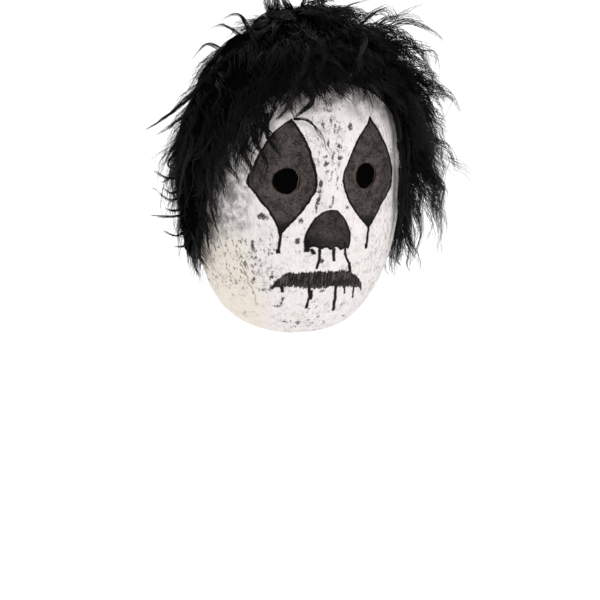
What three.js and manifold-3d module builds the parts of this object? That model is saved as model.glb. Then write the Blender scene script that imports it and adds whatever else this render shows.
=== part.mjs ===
// Carnival clown mask: a thin moulded face with two eye holes, lapped into a fabric hood that
// is covered with shaggy black fur. Millimetres, +Z up, and the face looks along -Y.
// The origin is the middle of the hollow that the wearer's head fills, at eye level.
import * as THREE from "three";
import { mergeVertices } from "three/addons/utils/BufferGeometryUtils.js";
import Module from "manifold-3d";

const wasm = await Module();
wasm.setup();

// Driving dimensions of the head form that the face and the hood share.
const headHalfWidth = 82;
const faceDepth = 92;
const napeDepth = 92;
const crownHeight = 106;
const chinDrop = 137;

// How square the head form's outline is seen from the front: 2 is an ellipse.
const browFullness = 2.1;
const jawFullness = 2.35;

// How far the crown leans ahead of the eyes, and the chin behind them, for each unit of height.
const headLean = 0.17;

// Walls, and the clearance that pieces keep where they lie on each other.
const faceWall = 2;
const hoodWall = 2;
const seatGap = 0.3;
const furUnderside = seatGap + hoodWall + seatGap;

// Face.
const eyeSpacing = 62;
const eyeDrop = 3;
const eyeHoleDiameter = 19;
const reliefHeight = 10;

// Fur: its dense pile, which is fuller on the right, and the locks that stand out of it.
const pileDepth = 11;
const pileShift = 6;
const lockLength = 84;
const lockWidth = 27;
const lockThickness = 17;
const lockTipShare = 0.08;
const furLopsided = 0.6;

// How finely the forms are faceted.
const formFacets = { around: 40, along: 24 };
const pileFacets = { around: 20, along: 13 };
const lockFacets = { around: 4, along: 4 };
const eyeHoleSides = 20;

// The face's soft relief. Each row is one rounded rise or hollow: where it lies and how far it
// spreads, as shares of the head's half width (across) and of the chin's drop (up), and how far
// it stands out, as a share of the relief's height. A row off the middle has a mirror image.
const reliefRows = [
  { name: "nose bridge", across: 0, up: -0.1, wide: 0.12, tall: 0.2, rise: 0.45 },
  { name: "nose tip", across: 0, up: -0.36, wide: 0.15, tall: 0.1, rise: 0.85 },
  { name: "nostril wing", across: 0.14, up: -0.385, wide: 0.085, tall: 0.055, rise: 0.4 },
  { name: "brow", across: 0.33, up: 0.19, wide: 0.3, tall: 0.09, rise: 0.28 },
  { name: "eye socket", across: 0.38, up: -0.015, wide: 0.22, tall: 0.14, rise: -0.55 },
  { name: "cheek", across: 0.5, up: -0.33, wide: 0.24, tall: 0.16, rise: 0.3 },
  { name: "lips", across: 0, up: -0.62, wide: 0.34, tall: 0.09, rise: 0.22 },
  { name: "under lip", across: 0, up: -0.75, wide: 0.26, tall: 0.07, rise: -0.12 },
  { name: "chin", across: 0, up: -0.88, wide: 0.25, tall: 0.09, rise: 0.25 },
];

// Edges seen from the side: back is a share of the face's depth, up one of the crown's height
// or, below the eyes, of the chin's drop. The face keeps what is in front of its rim, and the
// hood and the fur keep what is behind their own front edge and above the hem.
const faceRim = [
  { back: -0.4, up: 1.15 },
  { back: -0.15, up: 0.55 },
  { back: -0.02, up: 0 },
  { back: 0, up: -0.45 },
  { back: -0.06, up: -0.75 },
  { back: -0.36, up: -0.93 },
  { back: -0.6, up: -1.1 },
];
const hoodEdge = [
  { back: -0.98, up: 0.7 },
  { back: -0.79, up: 0.64 },
  { back: -0.66, up: 0.48 },
  { back: -0.52, up: 0.26 },
  { back: -0.4, up: 0 },
  { back: -0.3, up: -0.2 },
  { back: -0.16, up: -0.38 },
  { back: 0.05, up: -0.47 },
  { back: 0.6, up: -0.53 },
  { back: 1.3, up: -0.55 },
];

// Rows of fur locks round the hood, from the fringe to the nape. tilt is the row's angle above
// the eyes, from and to are the angles round the head from the face towards the right ear, and
// length and stand, how far the lock lifts off the head, are shares of the lock's length.
const lockRows = [
  { name: "fringe", tilt: 46, from: -40, to: 38, count: 8, length: 0.42, stand: 0.3 },
  { name: "front", tilt: 60, from: -46, to: 46, count: 5, length: 0.6, stand: 0.5 },
  { name: "crown", tilt: 82, from: 0, to: 288, count: 5, length: 0.75, stand: 0.45 },
  { name: "upper", tilt: 60, from: 66, to: 294, count: 10, length: 0.85, stand: 0.5 },
  { name: "left temple", tilt: 28, from: -62, to: -52, count: 2, length: 1, stand: 0.4 },
  { name: "right temple", tilt: 28, from: 56, to: 66, count: 2, length: 0.7, stand: 0.5 },
  { name: "side", tilt: 36, from: 76, to: 284, count: 9, length: 0.9, stand: 0.5 },
  { name: "ear", tilt: 12, from: 74, to: 286, count: 10, length: 0.9, stand: 0.5 },
  { name: "lower", tilt: -8, from: 96, to: 264, count: 8, length: 0.7, stand: 0.5 },
  { name: "nape", tilt: -22, from: 100, to: 260, count: 8, length: 0.55, stand: 0.4 },
];

const faceColour = 0xe9e2db;
const hoodColour = 0x141314;
const furColour = 0x0b0a0b;

// A closed three.js geometry as a solid that can be joined and cut.
function solidFrom(geometry) {
  const bare = geometry.clone();
  bare.deleteAttribute("normal");
  bare.deleteAttribute("uv");
  const merged = mergeVertices(bare);
  return new wasm.Manifold(
    new wasm.Mesh({
      numProp: 3,
      vertProperties: merged.attributes.position.array,
      triVerts: new Uint32Array(merged.index.array),
    }),
  );
}

// The lean of the whole mask: every height slides forward by its share.
const leaning = new THREE.Matrix4().makeShear(0, 0, 0, 0, 0, -headLean);

// A solid back as a named three.js mesh, leaning as the mask does.
function meshFrom(name, solid, colour, roughness) {
  const made = solid.getMesh();
  const geometry = new THREE.BufferGeometry();
  geometry.setAttribute("position", new THREE.BufferAttribute(made.vertProperties, 3));
  geometry.setIndex(new THREE.BufferAttribute(made.triVerts, 1));
  geometry.applyMatrix4(leaning);
  geometry.computeVertexNormals();
  const material = new THREE.MeshStandardMaterial({ color: colour, roughness, metalness: 0 });
  const mesh = new THREE.Mesh(geometry, material);
  mesh.name = name;
  return mesh;
}

// Height of the face's relief at a place seen from the front.
function reliefAt(x, z) {
  let height = 0;
  for (const row of reliefRows) {
    const sides = row.across === 0 ? [0] : [-1, 1];
    for (const side of sides) {
      const across = (x / headHalfWidth - side * row.across) / row.wide;
      const up = (z / chinDrop - row.up) / row.tall;
      height += row.rise * Math.exp(-across * across - up * up);
    }
  }
  return height * reliefHeight;
}

// How far the head form's outline reaches along a direction seen from the front, as a share
// of the half width and the height that lie that way.
function outlineShare(across, up) {
  const fullness = up > 0 ? browFullness : jawFullness;
  const sum = Math.abs(across) ** fullness + Math.abs(up) ** fullness;
  return sum > 0 ? sum ** (-1 / fullness) : 1;
}

// The head form, grown outwards by growth: an egg whose four quarters have the shared sizes.
// direction is a unit vector, and the rings round the Y axis lie closest together in front.
function formPoint(direction, growth, relief) {
  const fromFront = Math.acos(THREE.MathUtils.clamp(-direction.y, -1, 1));
  const ring = fromFront * (0.6 + (0.4 * fromFront) / Math.PI);
  const aside = Math.hypot(direction.x, direction.z) || 1;
  const across = direction.x / aside;
  const up = direction.z / aside;
  const reach = Math.sin(ring) * outlineShare(across, up);
  const height = up > 0 ? crownHeight : chinDrop;
  const depth = ring < Math.PI / 2 ? faceDepth : napeDepth;
  const x = (headHalfWidth + growth) * reach * across;
  const z = (height + growth) * reach * up;
  const facing = THREE.MathUtils.smoothstep(Math.cos(ring), 0.12, 0.5);
  const y = -(depth + growth) * Math.cos(ring) - (relief ? facing * reliefAt(x, z) : 0);
  return new THREE.Vector3(x, y, z);
}

// The whole head form as a closed solid.
function headForm(growth, { relief = false, facets = formFacets } = {}) {
  const geometry = new THREE.SphereGeometry(1, facets.around, facets.along);
  const place = geometry.attributes.position;
  const point = new THREE.Vector3();
  for (let i = 0; i < place.count; i += 1) {
    point.fromBufferAttribute(place, i).normalize();
    place.setXYZ(i, ...formPoint(point, growth, relief).toArray());
  }
  return solidFrom(geometry);
}

// A block as wide as the head whose outline from the side is edge, closed at closing.
function sideBlock(edge, closing) {
  const upwards = (share) => share * (share > 0 ? crownHeight : chinDrop);
  const points = [...edge, ...closing].map(
    (corner) => new THREE.Vector2(corner.back * faceDepth, upwards(corner.up)),
  );
  const width = 4 * headHalfWidth;
  const block = new THREE.ExtrudeGeometry(new THREE.Shape(points), {
    depth: width,
    bevelEnabled: false,
  });
  block.translate(0, 0, -width / 2);
  const lengthwise = new THREE.Vector3(0, 1, 0);
  const upward = new THREE.Vector3(0, 0, 1);
  const sideways = new THREE.Vector3(1, 0, 0);
  block.applyMatrix4(new THREE.Matrix4().makeBasis(lengthwise, upward, sideways));
  return solidFrom(block);
}

// The straight edge rounded into an even curve.
function smoothEdge(edge, steps) {
  const corners = edge.map((corner) => new THREE.Vector2(corner.back, corner.up));
  const curve = new THREE.SplineCurve(corners);
  return curve.getPoints(steps).map((point) => ({ back: point.x, up: point.y }));
}

// A cutter for one eye hole, a round bar along Y through the face's wall.
function eyeHole(side) {
  const radius = eyeHoleDiameter / 2;
  const bar = new THREE.CylinderGeometry(radius, radius, faceDepth, eyeHoleSides);
  bar.translate((side * eyeSpacing) / 2, -faceDepth, -eyeDrop);
  return solidFrom(bar);
}

function faceShell() {
  const rim = sideBlock(smoothEdge(faceRim, 24), [
    { back: -2, up: -1.1 },
    { back: -2, up: 1.15 },
  ]);
  const relief = true;
  let shell = headForm(0, { relief }).subtract(headForm(-faceWall, { relief }));
  shell = shell.intersect(rim);
  for (const side of [-1, 1]) shell = shell.subtract(eyeHole(side));
  return shell;
}

// The region that the hood and the fur's pile cover.
function hoodBlock() {
  return sideBlock(smoothEdge(hoodEdge, 28), [
    { back: 1.3, up: 1.5 },
    { back: -0.78, up: 1.5 },
  ]);
}

// One side of the hood, which is sewn from two panels along the middle of the head.
function hoodPanel(side) {
  const wide = 2 * headHalfWidth;
  const deep = 4 * faceDepth;
  const half = new THREE.BoxGeometry(wide, deep, deep);
  half.translate((side * (wide + seatGap)) / 2, 0, 0);
  const wall = headForm(seatGap + hoodWall).subtract(headForm(seatGap));
  return wall.intersect(hoodBlock()).intersect(solidFrom(half));
}

// A repeatable number from 0 to 1 for a lock and a purpose.
function scatter(lock, purpose) {
  const value = Math.sin(lock * 127.1 + purpose * 311.7) * 43758.5453;
  return value - Math.floor(value);
}

// A point of the grown head form by its angles round the head and above the eyes.
function formPlace(round, tilt, growth) {
  const up = Math.sin(tilt);
  const across = Math.cos(tilt) * Math.sin(round);
  const ahead = Math.cos(tilt) * Math.cos(round);
  const depth = ahead > 0 ? faceDepth : napeDepth;
  const height = up > 0 ? crownHeight : chinDrop;
  return new THREE.Vector3(
    (headHalfWidth + growth) * across,
    -(depth + growth) * ahead,
    (height + growth) * up,
  );
}

// Moves a point that is inside the grown head form out to its surface.
function clearOfHead(point, growth) {
  const depth = point.y < 0 ? faceDepth : napeDepth;
  const height = point.z > 0 ? crownHeight : chinDrop;
  const share = Math.hypot(
    point.x / (headHalfWidth + growth),
    point.y / (depth + growth),
    point.z / (height + growth),
  );
  return share < 1 ? point.multiplyScalar(1 / share) : point;
}

// The pile lies to the fuller side and a little up.
const pileMove = new THREE.Vector3(pileShift, 0, pileShift / 2);

// The middle line of a lock, as a function of the share of its length: it lifts off the head,
// is combed down it, and falls and sways more towards its tip.
function lockLine(row, round, tilt, number) {
  const root = formPlace(round, tilt, furUnderside + pileDepth / 2);
  const outward = root.clone().normalize();
  const combed = formPlace(round, tilt - 0.02, 0).sub(formPlace(round, tilt, 0)).normalize();
  const aside = new THREE.Vector3().crossVectors(outward, combed).normalize();
  const length = lockLength * row.length * (0.8 + 0.4 * scatter(number, 1));
  const fullness = 1 + furLopsided * Math.sin(round);
  const lift = length * row.stand * fullness * (0.75 + 0.5 * scatter(number, 2));
  const lean = 0.6 * (scatter(number, 3) - 0.5);
  const sway = 0.16 * (scatter(number, 4) - 0.5);
  return (share) => {
    const point = root.clone();
    point.addScaledVector(outward, lift * (share - 0.55 * share * share));
    point.addScaledVector(combed, 0.85 * length * (share - 0.2 * share * share));
    point.addScaledVector(aside, length * (lean * share + sway * Math.sin(5 * share)));
    point.z -= 0.3 * length * share * share;
    return clearOfHead(point, furUnderside + pileDepth).add(pileMove);
  };
}

// A lock: a flat bar bent along its line and tapered to its tip.
function lock(line) {
  const bar = new THREE.CylinderGeometry(0.5, 0.5, 1, lockFacets.around, lockFacets.along);
  const place = bar.attributes.position;
  const reach = 0.02;
  for (let i = 0; i < place.count; i += 1) {
    const share = 0.5 - place.getY(i);
    const point = line(share);
    const ahead = line(Math.min(share + reach, 1));
    const along = ahead.sub(line(Math.max(share - reach, 0))).normalize();
    const aside = new THREE.Vector3().crossVectors(point, along).normalize();
    const outward = new THREE.Vector3().crossVectors(along, aside);
    const taper = lockTipShare + (1 - lockTipShare) * (1 - share ** 1.5);
    point.addScaledVector(aside, lockWidth * taper * place.getX(i));
    point.addScaledVector(outward, lockThickness * taper * place.getZ(i));
    place.setXYZ(i, point.x, point.y, point.z);
  }
  return solidFrom(bar);
}

// Every lock of the rows, each a little off its even place.
function furLocks() {
  const locks = [];
  for (const row of lockRows) {
    for (let i = 0; i < row.count; i += 1) {
      const number = locks.length;
      const share = row.count > 1 ? i / (row.count - 1) : 0.5;
      const round = row.from + (row.to - row.from) * share + 8 * (scatter(number, 5) - 0.5);
      const tilt = row.tilt + 8 * (scatter(number, 6) - 0.5);
      const angles = [round, tilt].map(THREE.MathUtils.degToRad);
      locks.push(lock(lockLine(row, ...angles, number)));
    }
  }
  return locks;
}

// The fur: a thick pile that lies on the hood, with every lock joined to it. What the cut leaves
// loose is dropped.
function fur() {
  const pile = headForm(furUnderside + pileDepth, { facets: pileFacets });
  const covered = pile.translate(pileMove.toArray()).intersect(hoodBlock());
  const joined = wasm.Manifold.union([covered, ...furLocks()]);
  const bodies = joined.subtract(headForm(furUnderside)).decompose();
  return bodies.reduce((largest, body) => (body.volume() > largest.volume() ? body : largest));
}

const mask = new THREE.Group();
mask.add(meshFrom("face_shell", faceShell(), faceColour, 0.75));
mask.add(meshFrom("hood_left", hoodPanel(-1), hoodColour, 0.9));
mask.add(meshFrom("hood_right", hoodPanel(1), hoodColour, 0.9));
mask.add(meshFrom("fur", fur(), furColour, 0.6));

export default mask;
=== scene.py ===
"""Carnival clown mask: a painted face shell, a knitted hood and shaggy black fur.

Run as a script in Blender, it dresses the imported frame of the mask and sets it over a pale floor
in soft studio light. Metres, +Z up, the face looks along -Y, and the origin is the middle of the
hollow for the head, at eye level. The mask is worked out upright and leaned at the end.
"""
import math

import bpy
import numpy as np
from bpy.props import FloatProperty, FloatVectorProperty, IntProperty, PointerProperty
from mathutils import Matrix, Vector


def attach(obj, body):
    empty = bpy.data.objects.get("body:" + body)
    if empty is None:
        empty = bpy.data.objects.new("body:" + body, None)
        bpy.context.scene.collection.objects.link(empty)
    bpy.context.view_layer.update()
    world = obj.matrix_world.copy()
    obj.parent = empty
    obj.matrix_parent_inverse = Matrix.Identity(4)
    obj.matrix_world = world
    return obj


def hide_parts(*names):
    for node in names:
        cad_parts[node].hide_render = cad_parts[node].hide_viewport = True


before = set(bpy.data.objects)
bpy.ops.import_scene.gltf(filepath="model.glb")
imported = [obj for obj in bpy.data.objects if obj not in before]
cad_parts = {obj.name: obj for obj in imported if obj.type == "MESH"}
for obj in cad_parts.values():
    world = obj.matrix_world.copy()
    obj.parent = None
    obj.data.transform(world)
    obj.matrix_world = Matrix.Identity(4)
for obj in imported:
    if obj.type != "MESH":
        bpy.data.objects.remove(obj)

bl_info = {
    "name": "Clown mask with fur hood",
    "version": (1, 0, 0),
    "blender": (4, 5, 0),
    "location": "3D View > Sidebar > Clown mask",
    "description": "Dresses the frame of a carnival clown mask with paint, cloth and fur",
    "category": "Object",
}

MM = 0.001
TURN = 2 * math.pi
# Points along a strand: of a lock, and of the short coat under the locks.
LOCK_STEPS, COAT_STEPS = 11, 8
# Strands in each lock of a row and in each of the short coat.
LOCK_STRANDS, COAT_STRANDS = 12, 9
# How far strands stay off the fur's underside, how flat they are for their width, how unevenly
# their cut ends lie, and how far forward they have to be to be cut at the hairline.
STRAND_CLEARANCE = 0.0012
STRAND_FLATNESS = 0.55
CUT_RAGGEDNESS = 0.0045
FACE_AHEAD = 0.022
# The face's relief fades in between these shares of the way forward.
RELIEF_FADE = 0.12, 0.5
# Edges that turn by more than this are sharp.
SHARP = math.radians(50)

# The face's soft relief: one rounded rise or hollow a row. Where it lies and how far it spreads
# are shares of the half width (across) and of the chin's drop (up), and rise is a share of the
# relief's height. A row off the middle has a mirror image.
# across, up, wide, tall, rise
RELIEF_ROWS = (
    (0.0, -0.1, 0.12, 0.2, 0.45),
    (0.0, -0.36, 0.15, 0.1, 0.85),
    (0.14, -0.385, 0.085, 0.055, 0.4),
    (0.33, 0.19, 0.3, 0.09, 0.28),
    (0.38, -0.015, 0.22, 0.14, -0.55),
    (0.5, -0.33, 0.24, 0.16, 0.3),
    (0.0, -0.62, 0.34, 0.09, 0.22),
    (0.0, -0.75, 0.26, 0.07, -0.12),
    (0.0, -0.88, 0.25, 0.09, 0.25),
)

# Edges seen from the side, as shares of the depth (back) and of the height there (up).
FACE_RIM = (
    (-0.4, 1.15),
    (-0.15, 0.55),
    (-0.02, 0.0),
    (0.0, -0.45),
    (-0.06, -0.75),
    (-0.36, -0.93),
    (-0.6, -1.1),
)
HOOD_EDGE = (
    (-0.98, 0.7),
    (-0.79, 0.64),
    (-0.66, 0.48),
    (-0.52, 0.26),
    (-0.4, 0.0),
    (-0.3, -0.2),
    (-0.16, -0.38),
    (0.05, -0.47),
    (0.6, -0.53),
    (1.3, -0.55),
)

# Rows of fur locks: angle above the eyes, first and last angle round the head from the face
# towards the right ear, how many, and length and stand as shares of the lock's length.
# name, tilt, from, to, count, length, stand
LOCK_ROWS = (
    ("fringe", 46, -40, 38, 8, 0.42, 0.3),
    ("front", 60, -46, 46, 5, 0.6, 0.5),
    ("crown", 82, 0, 288, 5, 0.75, 0.45),
    ("upper", 60, 66, 294, 10, 0.85, 0.5),
    ("left temple", 28, -62, -52, 2, 1.0, 0.4),
    ("right temple", 28, 56, 66, 2, 0.7, 0.5),
    ("side", 36, 76, 284, 9, 0.9, 0.5),
    ("ear", 12, 74, 286, 10, 0.9, 0.5),
    ("lower", -8, 96, 264, 8, 0.7, 0.5),
    ("nape", -22, 100, 260, 8, 0.55, 0.4),
)


# ---- user sizes and colours


def length(name, description, value):
    """A size that the sidebar shows as a length."""
    return FloatProperty(name=name, description=description, default=value, unit="LENGTH")


def plain(name, description, value):
    """A plain number."""
    return FloatProperty(name=name, description=description, default=value)


def degrees(name, description, value):
    """An angle, given in degrees."""
    return FloatProperty(
        name=name, description=description, default=math.radians(value), subtype="ANGLE"
    )


def colour(name, description, value):
    """A colour that the sidebar shows as a swatch."""
    return FloatVectorProperty(
        name=name, description=description, default=value, subtype="COLOR", size=3, min=0, max=1
    )


class MaskForm(bpy.types.PropertyGroup):
    """The head form that the face, the hood and the fur share."""

    half_width: length("Half width", "Middle of the face to its side", 0.082)
    depth: length("Depth", "Eye level's middle to the face, and to the nape", 0.092)
    crown_height: length("Crown height", "Eye level to the crown", 0.106)
    chin_drop: length("Chin drop", "Eye level to the chin", 0.137)
    brow_fullness: plain("Brow fullness", "How square the outline is above the eyes", 2.1)
    jaw_fullness: plain("Jaw fullness", "How square the outline is below the eyes", 2.35)
    lean: plain("Lean", "How far each height slides forward, as a share", 0.17)


class FaceSizes(bpy.types.PropertyGroup):
    """The painted face shell."""

    wall: length("Wall", "Thickness of the plastic", 0.002)
    relief: length("Relief", "Height of the moulded relief", 0.010)
    eye_spacing: length("Eye spacing", "Between the eye holes' middles", 0.0615)
    eye_drop: length("Eye drop", "Eye holes' middles below the origin", 0.003)
    eye_radius: length("Eye radius", "Half the eye holes' size", 0.0095)
    turns: IntProperty(name="Turns", description="Cells round the face", default=288)
    rings: IntProperty(name="Rings", description="Cells from nose to rim", default=112)


class PaintColours(bpy.types.PropertyGroup):
    """Finishes of the face."""

    white: colour("White", "Main paint", (0.84, 0.79, 0.77))
    cream: colour("Cream", "Bare plastic tone at the left jaw", (0.80, 0.72, 0.58))
    # This grey is painted shadow of the hair along the hairline and down the left side of the face,
    # and also the grey of the brush streaks on the right cheek.
    shade_and_streaks: colour("Smoke", "Rubbed grey under the hair", (0.20, 0.18, 0.18))
    felt: colour("Felt", "Eye and nose patches", (0.066, 0.053, 0.050))
    ink: colour("Ink", "Outlines, drips and specks", (0.008, 0.0068, 0.0072))
    inside: colour("Inside", "Unpainted inner wall", (0.30, 0.25, 0.20))


class HoodSizes(bpy.types.PropertyGroup):
    """The knitted hood."""

    gap: length("Gap", "Clearance to the head form", 0.0003)
    wall: length("Wall", "Thickness of the cloth", 0.002)
    seam: length("Seam", "How far the middle seam stands up", 0.0008)
    colour: colour("Colour", "Knitted cloth", (0.012, 0.011, 0.012))


class FurSizes(bpy.types.PropertyGroup):
    """The fur's pile and locks."""

    underside: length("Underside", "Head form to the fur's backing", 0.0026)
    pile: length("Pile", "Depth of the dense pile", 0.011)
    shift: length("Shift", "How far the fur lies to its fuller side", 0.006)
    lock_length: length("Lock length", "Longest lock", 0.084)
    strand_width: length("Strand width", "A strand's width at its root", 0.0010)
    lopsided: plain("Lopsided", "How much fuller the right side is", 0.6)
    black: colour("Black", "Darkest fibres", (0.0009, 0.0008, 0.0009))
    grey: colour("Grey", "Lightest fibres", (0.0085, 0.0080, 0.0082))


class StageSizes(bpy.types.PropertyGroup):
    """Floor, lights and camera."""

    floor_drop: length("Floor drop", "Floor below the origin", 0.40)
    floor_radius: length("Floor radius", "Middle of the floor to where it turns up", 5.0)
    backdrop_bend: length("Backdrop bend", "Radius of the rising backdrop", 5.0)
    floor_glow: plain("Floor glow", "Light from the floor", 0.25)
    sky: plain("Sky", "Light from all round", 0.5)
    distance: length("Camera distance", "Camera to the origin", 1.5)
    azimuth: degrees("Azimuth", "Camera's place round the mask", -17)
    elevation: degrees("Elevation", "Camera's height above the eyes", 4.8)
    roll: degrees("Roll", "Camera's roll", -2.4)
    aim_across: length("Aim across", "Origin to the picture's middle, across", 0.0047)
    aim_up: length("Aim up", "Origin to the picture's middle, upwards", -0.1033)
    lens: plain("Lens", "Focal length in millimetres", 116.05)


# ---- surfaces


def unit(vectors):
    """Vectors divided by their lengths."""
    return vectors / np.maximum(np.linalg.norm(vectors, axis=-1, keepdims=True), 1e-12)


def smoothstep(low, high, value):
    """0 below low, 1 above high, and 3t^2 - 2t^3 between."""
    share = np.clip((value - low) / (high - low), 0, 1)
    return share * share * (3 - 2 * share)


def smooth_edge(rows, steps=64):
    """A table's points joined by a Catmull-Rom curve: half of
    2b + (c-a)t + (2a-5b+4c-d)t^2 + (3b-a-3c+d)t^3."""
    points = np.array(rows, float)
    place = np.linspace(0, len(points) - 1, steps)
    first = np.minimum(place.astype(int), len(points) - 2)
    t = (place - first)[:, None]
    a, b, c, d = (points[np.clip(first + k, 0, len(points) - 1)] for k in (-1, 0, 1, 2))
    return 0.5 * (
        2 * b + (c - a) * t + (2 * a - 5 * b + 4 * c - d) * t**2 + (3 * b - a - 3 * c + d) * t**3
    )


def relief_at(form, height, x, z):
    """Sum over the relief's rows of rise * exp(-across^2 - up^2), times the relief's height."""
    total = np.zeros(np.broadcast(x, z).shape)
    for across, up, wide, tall, rise in RELIEF_ROWS:
        for side in (-1, 1) if across else (0,):
            a = (x / form.half_width - side * across) / wide
            b = (z / form.chin_drop - up) / tall
            total += rise * np.exp(-a * a - b * b)
    return total * height


def form_point(form, turn, ring, growth=0.0, relief=0.0):
    """The head form grown outwards. turn is the angle round the Y axis and ring the angle from
    the front. The outline reaches (|cos|^p + |sin|^p)^(-1/p) of its half width and height."""
    across, up = np.cos(turn), np.sin(turn)
    fullness = np.where(up > 0, form.brow_fullness, form.jaw_fullness)
    share = (np.abs(across) ** fullness + np.abs(up) ** fullness) ** (-1 / fullness)
    reach = np.sin(ring) * share
    height = np.where(up > 0, form.crown_height, form.chin_drop) + growth
    x = (form.half_width + growth) * reach * across
    z = height * reach * up
    facing = smoothstep(*RELIEF_FADE, np.cos(ring))
    y = -(form.depth + growth) * np.cos(ring)
    if relief:
        y = y - facing * relief_at(form, relief, x, z)
    return np.stack(np.broadcast_arrays(x, y, z), -1)


def form_share(form, points, growth):
    """How far out points lie as a share of the grown head form: 1 on it, less inside it."""
    x, y, z = np.moveaxis(points, -1, 0)
    fullness = np.where(z > 0, form.brow_fullness, form.jaw_fullness)
    height = np.where(z > 0, form.crown_height, form.chin_drop) + growth
    outline = np.abs(x / (form.half_width + growth)) ** fullness + np.abs(z / height) ** fullness
    return np.sqrt(outline ** (2 / fullness) + (y / (form.depth + growth)) ** 2)


def front_depth(form, sizes, x, z, growth):
    """y of the face over a place seen from the front, on the form grown by growth."""
    flat = np.stack([x, np.zeros_like(x), z], -1)
    ahead = np.sqrt(np.clip(1 - form_share(form, flat, growth) ** 2, 0, 1))
    facing = smoothstep(*RELIEF_FADE, ahead)
    return -(form.depth + growth) * ahead - facing * relief_at(form, sizes.relief, x, z)


def lean(form, points):
    """Every height slides forward by its share."""
    leaning = np.array(points, float)
    leaning[..., 1] -= form.lean * leaning[..., 2]
    return leaning


def waves(points, seed, scale, count=5):
    """A smooth random value from about -1 to 1: the mean of sines along random directions."""
    rng = np.random.default_rng(seed)
    directions = unit(rng.normal(size=(count, 3))) * scale * rng.uniform(0.6, 1.6, (count, 1))
    phases = rng.uniform(0, TURN, count)
    return np.sin(points @ directions.T + phases).sum(-1) / math.sqrt(count)


def crossing(form, turns, start, end, inside):
    """The ring angle at which each turn leaves a region, found by halving from start to end."""
    low, high = np.full_like(turns, start), np.full_like(turns, end)
    for _ in range(36):
        middle = (low + high) / 2
        _, y, z = form_point(form, turns, middle).T
        back = y / form.depth
        up = z / np.where(z > 0, form.crown_height, form.chin_drop)
        kept = inside(back, up)
        low, high = np.where(kept, middle, low), np.where(kept, high, middle)
    return (low + high) / 2


def face_rim(form, turns):
    """Ring angles of the face's rim: the face keeps what is in front of it."""
    back_at, up_at = smooth_edge(FACE_RIM)[::-1].T
    return crossing(form, turns, 0.0, 2.0, lambda back, up: back < np.interp(up, up_at, back_at))


def hood_rim(form, turns):
    """Ring angles of the hood's edge: the hood keeps what is behind and above it."""
    back_at, up_at = smooth_edge(HOOD_EDGE).T
    return crossing(
        form, turns, math.pi, 0.0, lambda back, up: up > np.interp(back, back_at, up_at)
    )


# ---- meshes


def grid_faces(rows, columns):
    """Triangles round the pole, which is point 0, and quads between closed rings of columns
    points each: ring r starts at point 1 + r * columns."""
    here = np.arange(columns)
    after = (here + 1) % columns
    cap = np.stack([np.zeros(columns, int), 1 + here, 1 + after], -1)
    ring = (1 + np.arange(rows - 1) * columns)[:, None]
    quads = np.stack(
        [ring + here, ring + columns + here, ring + columns + after, ring + after], -1
    ).reshape(-1, 4)
    return cap, quads


def boundary(cap, quads):
    """Directed edges that belong to one face alone."""
    edges = np.concatenate(
        [f[:, [k, (k + 1) % f.shape[1]]] for f in (cap, quads) for k in range(f.shape[1])]
    )
    most = edges.max() + 1
    ahead, back = edges @ [most, 1], edges @ [1, most]
    return edges[~np.isin(ahead, back)]


def signed_volume(points, cap, quads):
    """Six times the volume inside the faces, positive if they point outwards."""
    triangles = np.concatenate([cap, quads[:, :3], quads[:, [0, 2, 3]]])
    a, b, c = (points[triangles[:, k]] for k in range(3))
    return np.einsum("ij,ij->", a, np.cross(b, c))


def shell(outer, inner, cap, quads):
    """A closed wall between two surfaces with the same faces: the outer one, the inner one
    reversed, and a quad from each edge of the outer to its mate. Returns the points, the faces
    and which points are inner."""
    count = len(outer)
    edges = boundary(cap, quads)
    walls = np.stack([edges[:, 1], edges[:, 0], edges[:, 0] + count, edges[:, 1] + count], -1)
    points = np.concatenate([outer, inner])
    triangles = np.concatenate([cap, cap[:, ::-1] + count])
    squares = np.concatenate([quads, quads[:, ::-1] + count, walls])
    if signed_volume(points, triangles, squares) < 0:
        triangles, squares = triangles[:, ::-1], squares[:, ::-1]
    used = np.unique(np.concatenate([triangles.ravel(), squares.ravel()]))
    place = np.zeros(len(points), int)
    place[used] = np.arange(len(used))
    return points[used], place[triangles], place[squares], (used >= count).astype(float)


def hood_shell(form, rings, columns, outer_growth, inner_growth):
    """The closed wall of the hood's region between two growths, which may change over it. The
    pole is the middle of the nape."""
    turns = np.linspace(0, TURN, columns, endpoint=False)
    rim = hood_rim(form, turns)
    share = np.linspace(0, 1, rings + 1)[1:, None]
    ring = math.pi + (rim - math.pi) * share
    cap, quads = grid_faces(rings, columns)
    surfaces = []
    for growth in (outer_growth, inner_growth):
        pole = form_point(form, np.array([0.0]), np.array([math.pi]), growth(np.zeros(1), None))
        at = form_point(form, turns, ring, 0.0)
        grown = form_point(form, turns, ring, growth(share + 0 * ring, at))
        surfaces.append(np.concatenate([pole, grown.reshape(-1, 3)]))
    return shell(*surfaces, cap, quads)


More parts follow.
